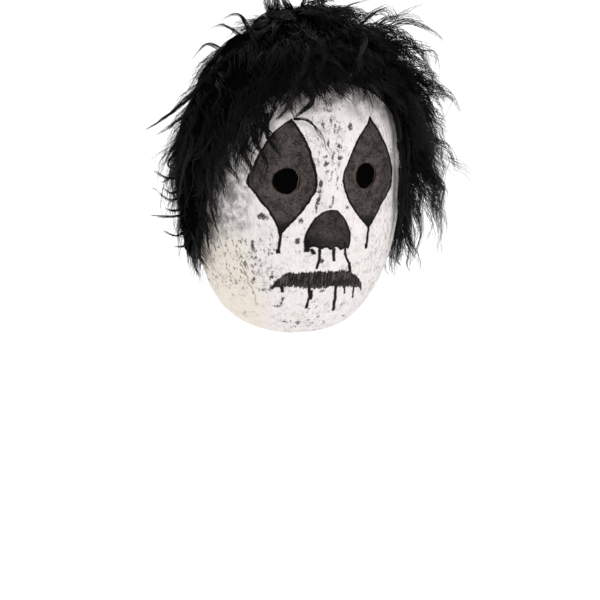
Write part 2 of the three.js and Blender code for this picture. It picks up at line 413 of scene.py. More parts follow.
def piece(name, points, faces, material, nodes, values=None, sharp=None):
    """A mesh object on the mask's one body that stands for the named solids. faces is a list of
    arrays, one for each number of corners, and values holds numbers for each point."""
    mesh = bpy.data.meshes.new(name)
    corners = np.concatenate([f.ravel() for f in faces]).astype(np.int32)
    totals = np.concatenate([np.full(len(f), f.shape[1]) for f in faces]).astype(np.int32)
    mesh.vertices.add(len(points))
    mesh.vertices.foreach_set("co", points.astype(np.float32).ravel())
    mesh.loops.add(len(corners))
    mesh.loops.foreach_set("vertex_index", corners)
    mesh.polygons.add(len(totals))
    mesh.polygons.foreach_set("loop_start", (np.cumsum(totals) - totals).astype(np.int32))
    for key, numbers in (values or {}).items():
        attribute = mesh.attributes.new(key, "FLOAT", "POINT")
        attribute.data.foreach_set("value", numbers.astype(np.float32))
    mesh.update(calc_edges=True)
    mesh.shade_smooth()
    if sharp:
        mesh.set_sharp_from_angle(angle=sharp)
    if mesh.validate():
        raise RuntimeError(f"{name}: the mesh had faulty faces")
    mesh.materials.append(material)
    made = bpy.data.objects.new(name, mesh)
    bpy.context.scene.collection.objects.link(made)
    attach(made, "root")
    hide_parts(*nodes)
    return made


# ---- shader maths


class Wire:
    """A socket in an expression: each operator adds its Math node."""

    def __init__(self, paint, socket):
        self.paint, self.socket = paint, socket

    def math(self, operation, *values):
        return self.paint.node(
            "ShaderNodeMath", {"operation": operation}, dict(enumerate(values))
        )

    def __add__(self, other):
        return self.math("ADD", self, other)

    def __sub__(self, other):
        return self.math("SUBTRACT", self, other)

    def __rsub__(self, other):
        return self.math("SUBTRACT", other, self)

    def __mul__(self, other):
        return self.math("MULTIPLY", self, other)

    def __truediv__(self, other):
        return self.math("DIVIDE", self, other)

    def __abs__(self):
        return self.math("ABSOLUTE", self)

    def least(self, other):
        return self.math("MINIMUM", self, other)

    def most(self, other):
        return self.math("MAXIMUM", self, other)

    __radd__ = __add__
    __rmul__ = __mul__


class Paint:
    """A material's node tree and the one method that adds nodes to it."""

    def __init__(self, name):
        self.material = bpy.data.materials.new(name)
        self.material.use_nodes = True
        self.tree = self.material.node_tree
        self.shader = self.tree.nodes["Principled BSDF"]

    def node(self, kind, settings=None, sockets=None, out=0):
        """A node of that type with its settings, then its sockets' values or links. curve holds
        a curve's points as (place, value)."""
        made = self.tree.nodes.new(kind)
        for key, value in (settings or {}).items():
            if key == "curve":
                points = made.mapping.curves[0].points
                for _ in value[2:]:
                    points.new(0.5, 0.5)
                for point, place in zip(points, value):
                    point.location = place
                    point.handle_type = "AUTO"
                made.mapping.update()
            else:
                setattr(made, key, value)
        for key, value in (sockets or {}).items():
            self.feed(made.inputs[key], value)
        return Wire(self, made.outputs[out])

    def feed(self, socket, value):
        """Sets a socket to a number or colour, or links a wire to it."""
        if isinstance(value, Wire):
            self.tree.links.new(value.socket, socket)
        elif socket.type == "RGBA":
            socket.default_value = (*value[:3], 1)
        else:
            socket.default_value = value

    def finish(self, **sockets):
        """Feeds the shader's own sockets, named with spaces for underscores."""
        for key, value in sockets.items():
            self.feed(self.shader.inputs[key.replace("_", " ")], value)
        return self.material

    def place(self):
        """The Object coordinates as a vector and as three numbers, in metres."""
        vector = self.node("ShaderNodeTexCoord", out="Object")
        return vector, [
            self.node("ShaderNodeSeparateXYZ", sockets={0: vector}, out=k) for k in range(3)
        ]

    def joined(self, x, y, z):
        return self.node("ShaderNodeCombineXYZ", sockets={0: x, 1: y, 2: z})

    def sine(self, value):
        return self.node("ShaderNodeMath", {"operation": "SINE"}, {0: value})

    def attribute(self, name):
        """A number that the mesh holds for each point."""
        return self.node("ShaderNodeAttribute", {"attribute_name": name}, out="Fac")

    def noise(self, vector, scale, detail=2.0, roughness=0.5):
        return self.node(
            "ShaderNodeTexNoise",
            sockets={"Vector": vector, "Scale": scale, "Detail": detail, "Roughness": roughness},
        )

    def noise_colour(self, vector, scale):
        """Noise with a value of its own in each of three channels, about the middle."""
        made = self.node("ShaderNodeTexNoise", sockets={"Vector": vector, "Scale": scale}, out=1)
        return self.node(
            "ShaderNodeVectorMath", {"operation": "SUBTRACT"}, {0: made, 1: (0.5, 0.5, 0.5)}
        )

    def ease(self, low, high, value):
        """0 at low and 1 at high, eased; low may be the higher of the two."""
        return self.node(
            "ShaderNodeMapRange",
            {"interpolation_type": "SMOOTHSTEP"},
            {"Value": value, "From Min": low, "From Max": high},
        )

    def mix(self, factor, first, second):
        """The first colour, or the second where the factor is 1."""
        return self.node(
            "ShaderNodeMix", {"data_type": "RGBA"}, {0: factor, 6: first, 7: second}, out=2
        )

    def profile(self, value, rows):
        """A smooth curve through rows of (at, reach), both in the value's unit."""
        at, reach = np.array(rows, float).T
        low, high, least, most = at.min(), at.max(), reach.min(), reach.max()
        points = [((a - low) / (high - low), (r - least) / (most - least)) for a, r in rows]
        share = (value - low) / (high - low)
        curve = self.node("ShaderNodeFloatCurve", {"curve": sorted(points)}, {"Value": share})
        return curve * (most - least) + least

    def bump(self, height, distance, strength=1.0):
        sockets = {"Height": height, "Distance": distance, "Strength": strength}
        return self.node("ShaderNodeBump", sockets=sockets)


# The painted marks, in millimetres seen from the front.
# Eye patches, left and right, which differ. Height, then the reach from the middle line to the
# nearer edge and to the farther one.
EYE_PATCHES = {
    -1: (
        (42, 26.8, 27.6),
        (38, 24.5, 33.6),
        (32, 21.4, 40.3),
        (24, 17.8, 45.8),
        (15, 14.4, 50.4),
        (6, 12.1, 53.2),
        (-2, 10.6, 56.4),
        (-10, 11.2, 52.5),
        (-18, 15.3, 47.5),
        (-26, 21, 42.4),
        (-34, 28.1, 38.8),
        (-42, 34.6, 36.4),
    ),
    1: (
        (40, 34, 34.8),
        (38, 32.8, 35.6),
        (32, 27, 40),
        (24, 20.6, 44.8),
        (15, 16.5, 50.4),
        (6, 12.6, 54.7),
        (-2, 9.5, 57),
        (-10, 10.4, 56.4),
        (-18, 13.8, 52.3),
        (-26, 18.6, 45.2),
        (-34, 24.9, 39.3),
        (-42, 31.8, 33.6),
    ),
}
# Nose patch: height and half width.
NOSE_PATCH = (
    (-25.2, 0),
    (-26.4, 5),
    (-28.6, 7.5),
    (-33, 12),
    (-38.5, 15),
    (-44.5, 17.4),
    (-50, 17.6),
    (-58, 16),
)
# Mouth: place across, top and bottom.
MOUTH = (
    (-38.4, -86.4, -87),
    (-34.8, -81, -86.2),
    (-31.5, -76, -85.6),
    (-27, -73.4, -85.2),
    (-18, -73.4, -85.4),
    (-3.5, -73.5, -87.4),
    (12, -74.8, -88),
    (20, -75.5, -88.8),
    (26, -79.4, -89.6),
    (31, -82.6, -90.6),
    (37.2, -92.5, -94),
)
# Drips: from (x, z), to (x, z), half width.
STROKES = (
    (-35.5, -39, -35.8, -57, 1.12),
    (-36.2, -53.8, -36, -57.4, 1.59),
    (32.5, -39, 32.8, -57.8, 1.00),
    (32.2, -54.5, 32.8, -59, 1.36),
    (-17, -47, -16.2, -57, 1.89),
    (-13.8, -54, -11, -59, 1.42),
    (-8.5, -52, -5.8, -64, 1.12),
    (-5.8, -63.2, -6.2, -71.5, 1.00),
    (2.5, -54.5, 6.5, -66.2, 1.24),
    (11.2, -50.8, 14.8, -62, 1.24),
    (14.5, -61, 20, -69.5, 1.12),
    (19.8, -68.2, 21.8, -76.5, 1.18),
    (-29.8, -84, -28.8, -89.5, 1.12),
    (-10.2, -84.8, -7.5, -94.5, 1.30),
    (-8, -88.5, -6.8, -97.2, 1.53),
    (-7.8, -95.5, -7.5, -104.8, 1.06),
    (11.2, -86, 14.5, -99.5, 1.12),
    (14, -98.5, 15.5, -109.2, 1.30),
    (19.2, -88, 21.2, -94.8, 0.71),
    (28, -89.2, 30.5, -100, 0.83),
)
# Specks: middle (x, z), half width, half height and strength.
SPECKS = (
    (-47.5, -28.5, 2.1, 1.7, 0.95),
    (-44.2, -30.2, 0.9, 1.6, 0.5),
    (15.8, 34.5, 1.3, 2.4, 0.9),
    (-8, -5.8, 1.0, 2.4, 0.85),
    (-8.8, -13.2, 1.0, 3.2, 0.6),
    (-9.8, -18.5, 1.1, 2.2, 0.85),
    (-11, -23.8, 0.8, 3.1, 0.4),
    (0.5, -18, 0.9, 3.1, 0.35),
    (-0.8, -22.5, 1.6, 1.6, 0.35),
    (13.2, -24.8, 1.2, 1.2, 0.6),
    (-21.2, -33, 1.6, 1.7, 0.55),
    (-23, -48.2, 1.5, 1.8, 0.8),
    (-22, -56, 1.9, 1.2, 0.35),
    (-41, -42, 1.1, 3.1, 0.35),
    (-52.5, -50.8, 0.9, 3.1, 0.6),
    (-51.5, -54.8, 1.1, 1.2, 0.6),
    (-50.5, -61.2, 2.0, 0.9, 0.6),
    (-50.2, -66.5, 2.3, 0.9, 0.55),
    (-56.5, -64.8, 1.7, 0.8, 0.6),
    (-54.5, -67.8, 0.8, 1.9, 0.5),
    (-43, -65, 0.8, 2.3, 0.4),
    (-40.8, -70.8, 0.8, 3.1, 0.35),
    (-48.5, -78.2, 0.9, 2.4, 0.55),
    (-37.2, -76.5, 2.0, 0.9, 0.8),
    (-41.5, -79.8, 1.9, 1.6, 0.3),
    (-34.2, -80.2, 1.9, 0.8, 0.6),
    (-27, -95, 1.0, 1.6, 0.7),
    (-29.5, -101.2, 2.6, 0.8, 0.65),
    (-27.2, -99, 0.9, 1.3, 0.55),
    (-10.8, -117.2, 1.4, 1.4, 0.8),
    (-21.2, -115.5, 1.6, 0.9, 0.45),
    (-12.5, -121, 2.3, 0.8, 0.4),
    (1, -90, 2.0, 1.1, 0.45),
    (-3.5, -65, 1.5, 1.3, 0.75),
    (6.5, 12.5, 2.0, 1.4, 0.6),
    (-3.8, 9.5, 1.3, 1.4, 0.7),
    (5.8, 21.2, 1.4, 1.7, 0.45),
    (5.8, 7.8, 1.1, 1.9, 0.35),
    (-5, 14, 1.9, 1.2, 0.4),
    (1.5, 47.2, 2.6, 1.2, 0.55),
    (1.2, 39, 0.8, 3.1, 0.45),
    (-2.5, 24.8, 0.9, 3.1, 0.5),
    (-3.8, 3.5, 1.7, 1.1, 0.4),
    (-30.8, -44.8, 1.6, 1.1, 0.3),
    (27.5, -116, 1.5, 0.8, 0.5),
    (3.8, -113.2, 0.9, 1.9, 0.35),
)


def stroke(paint, x, z, row, wobble):
    """1 within a straight brush mark: near its line, whose middle shifts evenly with height, and
    between its ends."""
    x0, z0, x1, z1, half = row
    slope = (x1 - x0) / (z1 - z0)
    off = abs(x - z * slope - (x0 - slope * z0)) + wobble
    low, high = sorted((z0, z1))
    between = paint.ease(low - 0.5, low + 0.5, z), paint.ease(high + 0.5, high - 0.5, z)
    return paint.ease(half + 0.5, half - 0.35, off) * between[0] * between[1]


def speck_strength(points):
    """Each point's strongest speck: strength * falloff(r), where r is 1 on the speck's ellipse."""
    x, z, half_width, half_height, strength = (np.array(SPECKS, float) * (MM, MM, MM, MM, 1)).T
    far = np.hypot((points[:, :1] - x) / half_width, (points[:, 2:] - z) / half_height)
    return (strength * smoothstep(1.9, 0.5, far)).max(1)


def eye_patches(paint, x, z):
    """How far inside the nearer eye patch a point is, in millimetres; less than 0 outside."""
    sides = []
    for side, rows in EYE_PATCHES.items():
        near = paint.profile(z, [(height, a) for height, a, b in rows])
        far = paint.profile(z, [(height, b) for height, a, b in rows])
        reach = x * side
        inside = (reach - near).least(far - reach)
        inside = inside.least((rows[0][0] - z) * 0.6).least((z + 42.5) * 0.6)
        sides.append(inside)
    return sides[0].most(sides[1])


def face_paint(colours):
    """Brushed white over pale plastic, with grey felt patches at the eyes and the nose, ink
    outlines and drips, a brushed mouth, crackle and specks, and painted shade: the hair's shadow at
    the hairline and on the left side, the nose's left side and underside, and a crease in the jaw."""
    paint = Paint("face_paint")
    place, (px, py, pz) = paint.place()
    x, z = px / MM, pz / MM
    shake = paint.noise(place, 160, 3.0, 0.6)
    fine = paint.noise(place, 900, 2.0, 0.6)
    drift = paint.noise(paint.joined(px, 0.31, pz), 150, 2.0)
    hand_x = x + (shake - 0.5) * 2.0 + (fine - 0.5) * 1.2
    hand_z = z + (drift - 0.5) * 1.8
    within = eye_patches(paint, hand_x, hand_z)
    # Nose patch, whose lower edge is scalloped and lower on the right.
    half = paint.profile(hand_z, NOSE_PATCH)
    scallop = paint.sine(x * 0.75 + 1.1)
    nose = (half - abs(hand_x + 0.6)).least(hand_z + 54.2 + x * 0.12 + scallop)
    nose = nose.least((-25.0 - hand_z) * 1.2)
    # Mouth, brushed upwards and downwards.
    bristle = paint.noise(paint.joined(px, 0.0, pz * 0.16), 760, 3.0, 0.65)
    brush_z = z + (bristle - 0.5) * 6.5 + (shake - 0.5) * 5.0
    top = paint.profile(x, [(a, t) for a, t, b in MOUTH])
    bottom = paint.profile(x, [(a, b) for a, t, b in MOUTH])
    mouth = (top - brush_z).least(z + (bristle - 0.5) * 9.5 + (shake - 0.5) * 2.5 - bottom)
    mouth = mouth.least((x + 38.6) * 0.7).least((37.6 - x) * 0.7)
    # Colours from the base coat up.
    grain = paint.noise(paint.joined(px, py * 0.4, pz * 0.28), 520, 3.0, 0.65)
    cloud = paint.noise(place, 120, 4.0, 0.65)
    coat = paint.mix(paint.ease(0.30, 0.60, grain), (0.74, 0.70, 0.68), colours.white)
    coat = paint.mix(paint.ease(0.50, 0.68, cloud) * 0.4, coat, (0.56, 0.505, 0.475))
    smudge = paint.noise(paint.joined(px, py, pz * 0.6), 270, 3.0, 0.6)
    coat = paint.mix(paint.ease(0.56, 0.74, smudge) * 0.3, coat, (0.40, 0.35, 0.33))
    jaw = paint.ease(-47, -60, x + (z + 60) * 0.36 + (cloud - 0.5) * 12) * paint.ease(-20, -60, z)
    coat = paint.mix(jaw * 0.55, coat, colours.cream)
    # Painted shadow of the hair: grey along the hairline and down the left side of the face. The
    # grey brush streaks on the right cheek are the paint's own.
    under = paint.ease(38, 66, z + abs(x) * 0.22)
    left = paint.ease(-50, -62, x) * paint.ease(-52, -30, z)
    shade_and_streaks = under * paint.ease(0.36, 0.60, cloud) * 1.1
    shade_and_streaks = shade_and_streaks + under * paint.ease(0.48, 0.72, grain) * 0.6
    shade_and_streaks = shade_and_streaks + left * paint.ease(0.36, 0.62, cloud)
    streaks = paint.noise(paint.joined(px + pz * 0.22, py, pz * 0.16), 420, 3.0, 0.7)
    right = paint.ease(24, 46, x) * paint.ease(60, 10, z)
    shade_and_streaks = shade_and_streaks + right * paint.ease(0.48, 0.66, streaks) * 0.7
    coat = paint.mix((shade_and_streaks * 0.8).least(0.85), coat, colours.shade_and_streaks)
    # Crackle: thin ragged rings and curls, in patches.
    bent = paint.node(
        "ShaderNodeVectorMath",
        {"operation": "MULTIPLY_ADD"},
        {0: paint.noise_colour(place, 260), 1: (0.006, 0.006, 0.006), 2: place},
    )
    cell = paint.node(
        "ShaderNodeTexVoronoi", {"feature": "DISTANCE_TO_EDGE"}, {"Vector": bent, "Scale": 230.0}
    )
    brow = paint.ease(28, 6, abs(x - 2)) * paint.ease(-14, 24, z)
    patchy = paint.ease(0.50, 0.64, paint.noise(place, 95, 2.0, 0.6) + brow * 0.06)
    crackle = paint.ease(0.12, 0.02, cell) * patchy * paint.ease(0.42, 0.58, cloud)
    # Short upright flecks, thickest on the left cheek and down the middle.
    fleck = paint.noise(paint.joined(px, py * 0.9, pz * 0.42), 470, 3.0, 0.65)
    cheek = paint.ease(-22, -40, x) * paint.ease(-28, -52, z) * paint.ease(-104, -82, z)
    middle = paint.ease(20, 6, abs(x)) * paint.ease(-30, 0, z)
    chin = paint.ease(-90, -104, z) * paint.ease(30, 10, abs(x))
    thick = 0.67 - cheek * 0.10 - middle * 0.09 - chin * 0.075
    flecks = paint.ease(0.0, 0.06, fleck - thick)
    worn = (crackle * 0.5).most(flecks * 0.8)
    ragged = (fine - 0.5) * 3.4 + (fleck - 0.5) * 3.8
    specks = paint.attribute("speck")
    worn = worn.most(paint.ease(0.10, 0.55, specks + specks * ragged) * 0.95)
    coat = paint.mix(worn.least(1.0), coat, (0.045, 0.037, 0.039))
    # Felt patches, mottled.
    mottle = paint.noise(place, 130, 5.0, 0.8)
    tuft = paint.noise(place, 800, 2.0, 0.7)
    felt_tone = paint.ease(0.38, 0.64, mottle * 0.62 + tuft * 0.38)
    felt = paint.mix(felt_tone, (0.012, 0.0105, 0.0104), (0.102, 0.087, 0.082))
    felt = paint.mix(0.15, felt, colours.felt)
    patch = paint.ease(-0.3, 0.3, within.most(nose))
    # The nose patch is darker than the eye patches all over, and painted shade darkens it more on
    # its left side and underneath, where the moulded nose turns from the light.
    shade_under_nose = paint.ease(-45, -50, hand_z - abs(x) * 0.12) * 0.4
    nose_shade = paint.ease(-0.3, 0.3, nose) * (0.28 + paint.ease(-2, -16, x) * 0.25 + shade_under_nose)
    felt = paint.mix(nose_shade, felt, (0.018, 0.014, 0.0145))
    coat = paint.mix(patch, coat, felt)
    # A paler ring round each eye hole, whose cut edge is dark reddish brown.
    off_x, off_z = abs(x) - 30.8, z + 3
    square = off_x * off_x + off_z * off_z
    hole = paint.node("ShaderNodeMath", {"operation": "SQRT"}, {0: square})
    ring = paint.ease(15.0, 11.0, hole + (shake - 0.5) * 4.0) * paint.ease(0.35, 0.6, mottle)
    coat = paint.mix(ring * 0.35, coat, (0.13, 0.098, 0.086))
    coat = paint.mix(paint.ease(10.4, 9.6, hole + fine * 0.6), coat, (0.022, 0.0085, 0.007))
    # The mouth's dry brush.
    lips_tone = paint.ease(0.44, 0.62, bristle * 0.6 + tuft * 0.2 + shake * 0.2)
    lips = paint.mix(lips_tone, (0.009, 0.0075, 0.008), (0.088, 0.073, 0.070))
    smear = paint.ease(-0.5, 0.6, mouth)
    coat = paint.mix(smear, coat, lips)
    # Ink outlines, whose width changes.
    width = 0.45 + drift
    line = paint.ease(0.3, -0.3, abs(within - 0.45) - width)
    line = line.most(paint.ease(0.3, -0.3, abs(nose - 0.4) - width * 0.85))
    line = line.most(paint.ease(0.4, -0.4, abs(mouth - 0.4) - width * 0.45) * 0.5)
    # The patches' lower points are filled with ink.
    line = line.most(paint.ease(-30, -37, hand_z) * paint.ease(0.0, 0.8, within) * 0.9)
    # Drips, and painted shade along a crease in the jaw's paint.
    wobble = (shake - 0.5) * 1.3 + (fine - 0.5) * 0.9
    for row in STROKES:
        line = line.most(stroke(paint, x + (drift - 0.5) * 1.4, z, row, wobble))
    crease = abs(x + 51.2 + (z + 81) * 0.42 + (drift - 0.5) * 5) + wobble
    crease = paint.ease(0.8, 0.1, crease) * paint.ease(-62, -70, z) * paint.ease(-104, -96, z)
    line = line.most(crease * 0.4)
    coat = paint.mix(line.least(1.0), coat, colours.ink)
    # Bare plastic inside.
    blotch = paint.noise(place, 46, 4.0, 0.6)
    inner_wall = paint.attribute("inner")
    bare = paint.mix(blotch, (0.24, 0.20, 0.16), colours.inside)
    coat = paint.mix(paint.ease(0.4, 0.6, inner_wall), coat, bare)
    # Relief of the paint: brush grain, felt nap and thick lines.
    height = grain * 0.35 + fine * 0.2 + patch * (tuft * 0.8 + mottle * 0.8 + 0.5) + line * 0.5
    height = height - worn * 0.5
    rough = 0.62 + patch * 0.28 - line * 0.1
    return paint.finish(
        Base_Color=coat,
        Roughness=rough,
        Normal=paint.bump(height, 0.0005, 0.7),
        Specular_IOR_Level=0.05,
    )


def hood_cloth(sizes):
    """Black knitted cloth: rows of stitches as waves across and along, with a dusty nap."""
    paint = Paint("hood_cloth")
    place, (px, py, pz) = paint.place()
    shake = paint.noise(place, 300, 2.0)
    across = paint.sine((px + py) / MM * 2.6 + shake * 3)
    along = paint.sine(pz / MM * 3.2 + shake * 3)
    stitch = abs(across) * 0.6 + abs(along) * 0.4
    tone = paint.mix(stitch, (0.006, 0.0055, 0.006), sizes.colour)
    return paint.finish(
        Base_Color=tone, Roughness=0.94, Normal=paint.bump(stitch, 0.0006), Specular_IOR_Level=0.05
    )


def fur_backing(sizes):
    """The fur's dense pile: near black, ribbed the way it is combed."""
    paint = Paint("fur_backing")
    _, (px, py, pz) = paint.place()
    combed = paint.noise(paint.joined(px, py, pz * 0.18), 700, 3.0, 0.7)
    tone = paint.mix(paint.ease(0.4, 0.7, combed), sizes.black, (0.004, 0.0036, 0.004))
    return paint.finish(
        Base_Color=tone, Roughness=0.9, Normal=paint.bump(combed, 0.0015), Specular_IOR_Level=0.0
    )


def black_strands(sizes):
    """Glossy black fibres: each strand has its own tone, and a painted sheen greys the paler
    strands and lightens every strand a little towards its tip.
    """
    paint = Paint("black_strands")
    tone = paint.attribute("tone")
    along = paint.attribute("along")
    sheen = paint.ease(0.5, 1.0, tone) * 0.7 + along * 0.3
    fibre = paint.mix(sheen, sizes.black, sizes.grey)
    fibre = paint.mix(paint.ease(0.94, 0.98, tone), fibre, (0.022, 0.018, 0.016))
    gloss = paint.ease(0.5, 1.0, tone) * 0.4
    return paint.finish(
        Base_Color=fibre,
        Roughness=0.45,
        Specular_IOR_Level=0.12,
        Coat_Weight=gloss,
        Coat_Roughness=0.28,
    )


# ---- fur


# The fur's lower edge over the face, as x and z, its widest reach to the right, and its hem round
# the head, as the angle from the front and z.
HAIRLINE = (
    (-82, -58),
    (-75, -50),
    (-70, -13),
    (-64, 8),
    (-57, 15),
    (-44, 40),
    (-39, 47),
    (-31, 53),
    (-23, 59),
    (-10, 60),
    (7, 62),
    (20, 60),
    (38, 57),
    (50, 50),
    (55, 38),
    (58, 26),
    (61, 2),
    (62, -40),
    (63, -76),
    (82, -76),
)
WIDEST = 136
HEM = (
    (-180, -112),
    (-150, -94),
    (-125, -74),
    (-60, -68),
    (0, -110),
    (60, -78),
    (120, -86),
    (180, -112),
)
# Locks that stand out of the fur one by one, in millimetres on the upright mask: how many strands,
# how widely they spread at the root, and the middle line's points from root to tip.
SINGLE_LOCKS = {
    "forehead": (
        (34, 3.4, ((-15, -74, 68), (-12, -81, 57), (-18, -84, 49), (-27, -85, 42))),
        (5, 0.5, ((-27, -85, 43), (-16, -88, 41), (-8, -92, 30), (0, -96, 15))),
        (12, 2.4, ((-24, -74, 60), (-27, -80, 51), (-27, -84, 42))),
        (26, 5, ((-48, -62, 62), (-50, -70, 46), (-45, -77, 34), (-37, -82, 27))),
        (26, 4, ((-20, -74, 68), (-26, -80, 58), (-33, -82, 50), (-39, -83, 43))),
        (26, 4, ((-30, -70, 68), (-36, -76, 56), (-42, -78, 46), (-46, -79, 36))),
        (22, 4, ((-16, -74, 70), (-22, -79, 63), (-29, -81, 57), (-35, -82, 50))),
        (22, 5, ((-58, -54, 54), (-61, -60, 36), (-57, -67, 24), (-50, -73, 17))),
        (22, 5, ((-66, -48, 36), (-69, -52, 18), (-66, -58, 6), (-60, -64, -2))),
        (20, 5, ((-72, -36, 10), (-76, -38, -12), (-75, -42, -30), (-71, -46, -44))),
        (18, 3, ((-44, -70, 46), (-46, -78, 34), (-41, -83, 24), (-37, -86, 15))),
        (18, 3, ((-50, -66, 38), (-52, -74, 26), (-48, -80, 14), (-46, -82, 4))),
        (18, 3, ((-56, -60, 30), (-58, -67, 16), (-54, -73, 4), (-53, -75, -7))),
    ),
    "right edge": (
        (24, 3, ((54, -60, 58), (58, -64, 42), (60, -68, 26), (61, -70, 8))),
        (24, 3, ((60, -62, 42), (62, -67, 22), (62, -69, 2), (61, -69, -16))),
        (24, 3, ((62, -67, 20), (64, -68, 0), (63, -67, -20), (61, -66, -36))),
        (24, 3, ((64, -67, 0), (65, -65, -20), (64, -62, -38), (61, -60, -54))),
        (24, 3, ((65, -65, -20), (66, -60, -38), (64, -56, -56), (63, -48, -72))),
        (24, 3.5, ((68, -60, 30), (70, -62, 10), (70, -60, -14), (68, -58, -36))),
        (24, 3.5, ((70, -60, 0), (71, -57, -22), (70, -53, -44), (68, -50, -64))),
    ),
    "left": (
        (30, 6, ((-66, 5, 70), (-90, 5, 52), (-102, 5, 43), (-116, 5, 35))),
        (24, 6, ((-70, -8, 62), (-88, -8, 46), (-100, -6, 37), (-111, -5, 32))),
        (30, 7, ((-70, -5, 48), (-86, -5, 31), (-97, -5, 21), (-105, -5, 9))),
        (30, 7, ((-76, 5, 40), (-90, 5, 20), (-99, 5, 9), (-94, 5, 3))),
        (30, 7, ((-78, 2, 26), (-90, 2, 10), (-98, 2, -2), (-106, 2, -6))),
        (26, 5, ((-80, 0, 8), (-90, 0, -2), (-101, 0, -2), (-111, 0, 5))),
        (26, 6, ((-80, 0, -2), (-89, 0, -12), (-98, 0, -14), (-104, 0, -10))),
        (26, 5, ((-80, 0, -8), (-88, 0, -17), (-100, 0, -19), (-113, 0, -8))),
        (26, 6, ((-80, 0, -14), (-88, 0, -25), (-96, 0, -28), (-103, 0, -25))),
        (26, 5, ((-80, -5, -18), (-88, -5, -30), (-100, -5, -32), (-115, -5, -29))),
        (30, 6, ((-76, -5, -26), (-86, -5, -42), (-96, -5, -47), (-106, -5, -42))),
        (30, 6, ((-78, -8, -28), (-84, -8, -46), (-90, -8, -55), (-98, -8, -55))),
        (26, 5, ((-76, -14, -30), (-81, -14, -46), (-84, -14, -58), (-90, -14, -62))),
        (16, 3, ((-74, -30, -32), (-77, -32, -46), (-75, -33, -62))),
        (12, 3, ((-28, 18, 102), (-36, 18, 116), (-44, 18, 119), (-53, 18, 114))),
        (14, 3, ((-34, 18, 98), (-46, 18, 109), (-54, 18, 111), (-63, 18, 107))),
        (14, 3, ((-50, 16, 90), (-62, 16, 97), (-70, 16, 94), (-78, 16, 85))),
    ),
    "top": (
        (90, 6, ((-2, 18, 98), (-7, 20, 112), (-14, 20, 122), (-18, 20, 131))),
        (90, 6, ((0, 18, 100), (-3, 20, 114), (-8, 20, 124), (-11, 20, 134))),
        (90, 6, ((2, 18, 102), (2, 20, 114), (-1, 20, 124), (-5, 20, 133))),
        (16, 4, ((12, 18, 106), (13, 20, 118), (12, 20, 126), (20, 20, 130))),
        (16, 4, ((22, 18, 106), (24, 20, 118), (29, 20, 126), (27, 20, 131))),
        (18, 4, ((34, 18, 106), (41, 18, 116), (50, 18, 122), (67, 18, 125))),
    ),
    "right": (
        (18, 5, ((62, 18, 98), (80, 20, 109), (92, 20, 112), (110, 20, 121))),
        (18, 5, ((68, 18, 96), (92, 20, 107), (108, 20, 105), (120, 20, 98), (129, 20, 90))),
        (18, 6, ((76, 14, 88), (98, 14, 87), (111, 14, 79), (121, 14, 60))),
        (22, 6, ((80, 10, 78), (106, 10, 60), (117, 10, 50), (128, 10, 46))),
        (22, 6, ((86, 8, 64), (112, 8, 43), (120, 8, 35), (129, 8, 27))),
        (22, 6, ((90, 5, 40), (110, 5, 23), (119, 5, 13), (129, 5, 8))),
        (20, 6, ((90, 2, 28), (110, 2, 9), (118, 2, -2), (127, 2, -10))),
        (18, 5, ((94, 0, 14), (112, 0, -12), (117, 0, -34), (121, 0, -62))),
        (26, 6, ((88, 0, -8), (100, 0, -36), (107, 0, -60), (102, 0, -80))),
        (26, 6, ((84, -8, -16), (91, -8, -44), (95, -8, -66), (100, -8, -82))),
        (20, 5, ((84, -14, -20), (87, -16, -42), (88, -16, -58), (95, -14, -70))),
    ),
}


def scatter(lock, purpose):
    """A repeatable number from 0 to 1: the fraction of
    43758.5453 sin(127.1 lock + 311.7 purpose)."""
    value = np.sin(lock * 127.1 + purpose * 311.7) * 43758.5453
    return value - np.floor(value)


def form_place(form, around, tilt, growth):
    """A point of the grown head form by its angles round the head and above the eyes."""
    across, up = np.cos(tilt) * np.sin(around), np.sin(tilt)
    ahead = np.cos(tilt) * np.cos(around)
    height = np.where(up > 0, form.crown_height, form.chin_drop)
    x, y = (form.half_width + growth) * across, -(form.depth + growth) * ahead
    return np.stack([x, y, (height + growth) * up], -1)


def cad_locks(names):
    """The solid locks of those rows: their numbers, angles, lengths and stands."""
    table, number = [], 0
    for name, tilt, first, last, count, reach, stand in LOCK_ROWS:
        for i in range(count):
            if name in names:
                around = first + (last - first) * (i / (count - 1))
                table.append((number, around, tilt, reach, stand))
            number += 1
    number, around, tilt, reach, stand = np.array(table, float).T
    around = np.radians(around + 8 * (scatter(number, 5) - 0.5))
    tilt = np.radians(tilt + 8 * (scatter(number, 6) - 0.5))
    return number, around, tilt, reach, stand


def fullness(form, place):
    """How thick the fur stands: 1 + 0.45 x / half width, which fills out to 1 again on the left
    of the back, from 30 to 65 mm behind the middle."""
    side = np.clip(place[..., 0] / form.half_width, -1, 1)
    front = np.interp(place[..., 1], (0.030, 0.065), (1.0, 0.0))
    return 1 + 0.45 * np.where(side < 0, side * front, side)


def lock_lines(form, sizes, around, tilt, reach, lift, swing, sway, fall, steps):
    """Middle lines of locks, one row each: root + outward * lift(s - 0.55 s^2)
    + combed * 0.85 reach (s - 0.2 s^2) + aside * reach (swing s + sway sin 5s), and fallen by
    fall * reach * s^2, for s from 0 at the root to 1 at the tip."""
    root = form_place(form, around, tilt, sizes.underside + sizes.pile * 0.35)
    outward = unit(root)
    combed = unit(form_place(form, around, tilt - 0.02, 0) - form_place(form, around, tilt, 0))
    aside = unit(np.cross(outward, combed))
    s = np.linspace(0, 1, steps)[None, :, None]
    lift, reach, swing, sway, fall = (a[:, None, None] for a in (lift, reach, swing, sway, fall))
    lines = root[:, None] + outward[:, None] * lift * (s - 0.55 * s * s)
    lines = lines + combed[:, None] * 0.85 * reach * (s - 0.2 * s * s)
    lines = lines + aside[:, None] * reach * (swing * s + sway * np.sin(5 * s))
    lines[..., 2] -= (fall * reach * s * s)[..., 0]
    return lines


